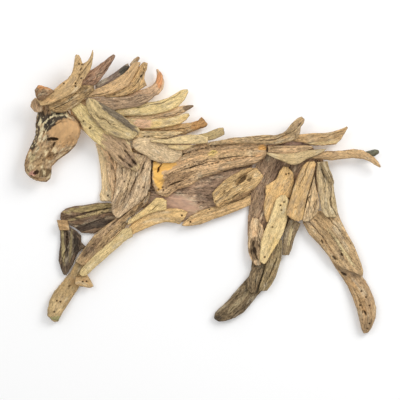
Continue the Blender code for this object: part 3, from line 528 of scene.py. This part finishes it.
def hollows_and_holes(board, ragged):
    """The placed slots, hollows and worm holes. Returns depth and the shade painted into them, darker the
    deeper they are.
    """
    x, z = board.points[:, 0], board.points[:, 2]
    depth, painted_shade = np.zeros(len(x)), np.zeros(len(x))
    for spot in HOLLOWS.get(board.name, []):
        deep = spot[5]
        inside = smooth_step(*HOLLOW_WALL, board.inside(spot) + ragged)
        depth += deep * inside * board.facing
        painted_shade = np.maximum(painted_shade, board.shown * inside * min(1.0, 0.2 + deep))
    for hole_x, hole_z in WORM_HOLES.get(board.name, []):
        inside = smooth_step(*HOLLOW_WALL, 1 - np.hypot(x - hole_x, z - hole_z) / WORM_HOLE)
        depth += WORM_HOLE_DEPTH * inside * board.facing
        painted_shade = np.maximum(painted_shade, board.shown * inside)
    return depth, painted_shade


def head_depth(board, ragged):
    """The head's face steps back around its rounded masses, and its rough skin has flaked off in places."""
    masses = [smooth_step(*MASS_RIM, board.inside(mass) + 0.3 * ragged) for mass in HEAD_MASSES]
    standing = np.max(masses, axis=0)
    rough, flake = board.flakes()
    gone = rough * smooth_step(0.3, -0.1, flake)
    return (HEAD_STEP * (1 - standing) + FLAKE_DEPTH * gone) * board.facing


def worn_ends(board):
    """How far the fibres at both ends are pulled in along the board, in bundles, as vectors."""
    fibres = board.fibres
    along, across, deep = board.grain.T
    worn = min(WORN_END, WORN_SHARE * fibres.length)
    near_end = smooth_step(fibres.end - 2.2 * worn, fibres.end, along)
    near_start = 1 - smooth_step(fibres.start, fibres.start + 2.2 * worn, along)
    section = np.stack([across / BUNDLE[0], deep / BUNDLE[1], np.zeros(len(along))], 1)
    bundles = 0.5 + 0.5 * noise(section, board.seed + 6)
    pull = worn * 0.5 * bundles * (near_start - near_end)
    return pull[:, None] * np.array([fibres.axis[0], 0.0, fibres.axis[1]])


def carved(board):
    """Moves the surface inwards for all of its relief. Returns the new points and how much shade is painted
    at each one.
    """
    ragged = 0.22 * noise(board.points / RAG_SIZE, board.seed + 5)
    depth, painted_shade = weathered_faces(board)
    for more_depth, more_painted_shade in (long_splits(board), hollows_and_holes(board, ragged)):
        depth += more_depth
        painted_shade = np.maximum(painted_shade, more_painted_shade)
    if board.name == "head":
        depth += head_depth(board, ragged)
    return board.points - board.normals * depth[:, None] + worn_ends(board), painted_shade


def blended(colour, other, cover):
    """The colour with the other one laid over it, by a cover from 0 to 1 at each point."""
    cover = cover[:, None]
    return colour * (1 - cover) + other * cover


def painted(board, painted_shade):
    """The colour of each point: bleached crests, warm and grey patches, stains, and near-black painted shade
    in splits, furrows, pits, hollows and on the boards' sides.
    """
    mean = linear(board.base)
    paler = PALER - PALER_FALL * mean.mean()
    streak = board.figure(KNOTTY_STREAKS if board.name in KNOTTY else STREAKS)
    colour = mean * paler * (1 + (0.2 + 0.3 * board.groove) * streak)[:, None]
    bleached = smooth_step(0.1, 0.6, board.figure(BLEACHED_CRESTS))
    colour = blended(colour, linear(BLEACHED), BLEACHED_SHARE * bleached)
    warm = smooth_step(0.15, 0.7, board.figure(WARM_PATCHES))
    colour = blended(colour, colour * WARMING, WARM_SHARE * warm)
    grey = smooth_step(0.1, 0.7, board.figure(GREY_PATCHES))
    colour = blended(colour, linear(GREYED) * paler, GREY_SHARE * grey)
    ragged = 0.45 * board.figure(STAIN_EDGES)
    streaked = (1.08 + 0.3 * streak)[:, None]
    for spot in STAINS.get(board.name, []):
        stain, strength = spot[5:]
        cover = strength * board.shown * smooth_step(*SPOT_RIM, board.inside(spot) + ragged)
        colour = blended(colour, linear(stain) * streaked, cover)
    if board.name == "head":
        rough, flake = board.flakes()
        pale = PALE_FLAKE_SHARE * board.shown * rough * smooth_step(0.26, 0.38, flake)
        colour = blended(colour, linear(PALE_FLAKE), pale)
        burnt = DARK_FLAKE_SHARE * board.shown * rough * smooth_step(0.28, 0.42, -flake)
        colour = blended(colour, linear(DARK_FLAKE), burnt)
    # Shade painted into the relief's recesses and the boards' sides.
    return blended(colour, linear(SHADE_COLOUR), DEEPEST_SHADE * np.clip(painted_shade, 0, 1))


def added(tree, kind, **settings):
    """A new node in the tree."""
    node = tree.nodes.new(kind)
    for key, value in settings.items():
        setattr(node, key, value)
    return node


def figured(tree, grain, figure):
    """Noise in the grain's own coordinates, so that it runs along the fibres."""
    along, across, detail, roughness = figure
    stretch = added(tree, "ShaderNodeVectorMath", operation="MULTIPLY")
    stretch.inputs[1].default_value = (along, across, across)
    texture = added(tree, "ShaderNodeTexNoise")
    texture.inputs["Scale"].default_value = 1.0
    texture.inputs["Detail"].default_value = detail
    texture.inputs["Roughness"].default_value = roughness
    tree.links.new(grain.outputs["Vector"], stretch.inputs[0])
    tree.links.new(stretch.outputs[0], texture.inputs["Vector"])
    return texture.outputs["Fac"]


def ranged(tree, value, low, high, to_low, to_high):
    """The value mapped from low..high to to_low..to_high and held there."""
    node = added(tree, "ShaderNodeMapRange")
    for key, number in zip(("From Min", "From Max", "To Min", "To Max"), (low, high, to_low, to_high)):
        node.inputs[key].default_value = number
    tree.links.new(value, node.inputs["Value"])
    return node.outputs["Result"]


def combined(tree, operation, *values):
    """A Math node, whose values are sockets or numbers."""
    node = added(tree, "ShaderNodeMath", operation=operation)
    for socket, value in zip(node.inputs, values):
        if isinstance(value, float):
            socket.default_value = value
        else:
            tree.links.new(value, socket)
    return node.outputs[0]


def wood_colour(tree, tone, calm, specks, fibres, pores, blotches, spread):
    """The painted tone with fibres, specks and pores in it, and greyer in blotches."""
    shade = combined(tree, "MULTIPLY", ranged(tree, fibres, 0.3, 0.7, 1.0 - spread, 1.0 + spread),
                     ranged(tree, specks, 0.36, 0.50, 1.0 - 1.1 * spread, 1.12))
    shade = combined(tree, "MULTIPLY", shade, ranged(tree, pores, 0.3, 0.7, 0.74, 1.24))
    calmed = added(tree, "ShaderNodeMix", data_type="FLOAT")
    calmed.inputs["A"].default_value = 1.0
    tree.links.new(calm.outputs["Fac"], calmed.inputs["Factor"])
    tree.links.new(shade, calmed.inputs["B"])
    coloured = added(tree, "ShaderNodeVectorMath", operation="SCALE")
    tree.links.new(tone.outputs["Vector"], coloured.inputs[0])
    tree.links.new(calmed.outputs["Result"], coloured.inputs["Scale"])
    greyed = added(tree, "ShaderNodeMix", data_type="RGBA", blend_type="MULTIPLY")
    greyed.inputs["B"].default_value = GREY_BLOTCH
    tree.links.new(ranged(tree, blotches, 0.45, 0.65, 0.0, 0.8), greyed.inputs["Factor"])
    tree.links.new(coloured.outputs[0], greyed.inputs["A"])
    return greyed.outputs["Result"]


def weathered_wood(name, groove):
    """Wood whose colour, roughness and fine relief follow the grain stored on the mesh."""
    material = bpy.data.materials.new("driftwood_" + name)
    material.use_nodes = True
    tree = material.node_tree
    shader = tree.nodes["Principled BSDF"]
    shader.inputs["Metallic"].default_value = 0.0
    shader.inputs["Specular IOR Level"].default_value = 0.25
    grain, tone, shade_mask, calm = [added(tree, "ShaderNodeAttribute", attribute_name=stored)
                                 for stored in ("grain", "tone", "shade_mask", "calm")]
    specks, fibres, pores, blotches = [figured(tree, grain, figure)
                                       for figure in (SPECKS, FIBRES, PORES, BLOTCHES)]
    spread = 0.2 + 0.32 * min(groove, 1.2)
    colour = wood_colour(tree, tone, calm, specks, fibres, pores, blotches, spread)
    tree.links.new(colour, shader.inputs["Base Color"])
    tree.links.new(ranged(tree, fibres, 0.3, 0.7, 0.92, 0.66), shader.inputs["Roughness"])
    height = combined(tree, "MULTIPLY_ADD", pores, 0.35, fibres)
    bump = added(tree, "ShaderNodeBump")
    bump.inputs["Strength"].default_value = 0.55
    bump.inputs["Distance"].default_value = BUMP_HEIGHT
    # The painted-shade mask also lowers the fine bump.
    tree.links.new(combined(tree, "SUBTRACT", height, shade_mask.outputs["Fac"]), bump.inputs["Height"])
    tree.links.new(bump.outputs["Normal"], shader.inputs["Normal"])
    return material


def read_vectors(values, key):
    """The vector called key of each mesh element, as an array (n, 3)."""
    numbers = np.empty(len(values) * 3, np.float32)
    values.foreach_get(key, numbers)
    return numbers.reshape(-1, 3).astype(float)


def store(mesh, name, kind, key, numbers):
    """Keeps one number or vector at each point of the mesh under a name."""
    mesh.attributes.new(name, kind, "POINT").data.foreach_set(key, numbers.astype(np.float32).ravel())


def dress(node, index):
    """Replaces the plain solid of one board with its carved and painted mesh."""
    name = node.name
    corners = np.array([v.co for v in node.data.vertices]) / CM
    mesh = remeshed(node)
    points = read_vectors(mesh.vertices, "co") / CM
    normals = read_vectors(mesh.vertices, "normal")
    board = Board(name, corners, points, normals, FIRST_SEED + SEED_STEP * index)
    moved, painted_shade = carved(board)
    moved = np.clip(moved, corners.min(0), corners.max(0))
    mesh.vertices.foreach_set("co", (moved * CM).astype(np.float32).ravel())
    mesh.update()
    store(mesh, "grain", "FLOAT_VECTOR", "vector", board.grain)
    # The tone carries the painted shade of the relief as well as the wood's colour; the same shade mask is
    # kept on the mesh and lowers the fine bump.
    store(mesh, "tone", "FLOAT_VECTOR", "vector", painted(board, painted_shade))
    store(mesh, "shade_mask", "FLOAT", "value", painted_shade)
    store(mesh, "calm", "FLOAT", "value", board.calm)
    mesh.materials.clear()
    mesh.materials.append(weathered_wood(name, board.groove))
    mesh.shade_smooth()
    made = bpy.data.objects.new("wood_" + name, mesh)
    bpy.context.scene.collection.objects.link(made)
    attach(made, "root")
    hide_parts(name)


def stage_wall():
    """A pale wall just behind the horse. From behind it is clear to sight and light: the back shows."""
    upright = (math.pi / 2, 0.0, 0.0)
    bpy.ops.mesh.primitive_plane_add(size=WALL_SIZE, location=(0.0, WALL_BEHIND, 0.0), rotation=upright)
    wall = bpy.context.object
    wall.name = "stage_wall"
    paint = bpy.data.materials.new("wall_paint")
    paint.use_nodes = True
    tree = paint.node_tree
    shader = tree.nodes["Principled BSDF"]
    shader.inputs["Base Color"].default_value = (0.93, 0.93, 0.93, 1.0)
    shader.inputs["Roughness"].default_value = 0.9
    shader.inputs["Specular IOR Level"].default_value = 0.1
    clear = added(tree, "ShaderNodeBsdfTransparent")
    side = added(tree, "ShaderNodeNewGeometry")
    mix = added(tree, "ShaderNodeMixShader")
    tree.links.new(side.outputs["Backfacing"], mix.inputs[0])
    tree.links.new(shader.outputs[0], mix.inputs[1])
    tree.links.new(clear.outputs[0], mix.inputs[2])
    tree.links.new(mix.outputs[0], tree.nodes["Material Output"].inputs["Surface"])
    wall.data.materials.append(paint)
    wall.visible_shadow = False


def area_light(name, place, size, power):
    """A round soft light that points at the middle of the horse."""
    light = bpy.data.lights.new(name, "AREA")
    light.shape = "DISK"
    light.size = size
    light.energy = power
    lamp = bpy.data.objects.new(name, light)
    lamp.location = place
    lamp.rotation_euler = (Vector(LIT_MIDDLE) - Vector(place)).to_track_quat("-Z", "Y").to_euler()
    bpy.context.scene.collection.objects.link(lamp)


def stage_light():
    """A white sky all round, and the soft lights."""
    world = bpy.data.worlds.new("studio")
    world.use_nodes = True
    sky = world.node_tree.nodes["Background"]
    sky.inputs["Color"].default_value = (1.0, 1.0, 1.0, 1.0)
    sky.inputs["Strength"].default_value = SKY_STRENGTH
    bpy.context.scene.world = world
    for name, place, size, power in LIGHTS:
        area_light(name, place, size, power)
    bpy.context.scene.view_settings.view_transform = "Standard"


def stage_camera():
    """Square-on to the wall through a long lens."""
    lens = bpy.data.cameras.new("camera")
    lens.sensor_width = SENSOR
    lens.lens = LENS
    lens.clip_end = 50.0
    eye = bpy.data.objects.new("camera", lens)
    distance = VIEW_WIDTH * LENS / SENSOR
    eye.location = (VIEW_MIDDLE[0], -distance - FACES_OUT, VIEW_MIDDLE[1])
    eye.rotation_euler = (math.pi / 2, 0.0, 0.0)
    bpy.context.scene.collection.objects.link(eye)
    bpy.context.scene.camera = eye


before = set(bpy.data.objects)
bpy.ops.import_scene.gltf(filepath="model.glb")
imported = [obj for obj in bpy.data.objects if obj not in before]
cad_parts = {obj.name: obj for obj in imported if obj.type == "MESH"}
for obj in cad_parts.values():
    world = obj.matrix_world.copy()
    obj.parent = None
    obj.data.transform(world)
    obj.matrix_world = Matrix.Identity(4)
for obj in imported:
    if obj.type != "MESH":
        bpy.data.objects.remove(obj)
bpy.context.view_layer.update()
for index, name in enumerate(sorted(LOOKS)):
    dress(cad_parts[name], index)
stage_wall()
stage_light()
stage_camera()
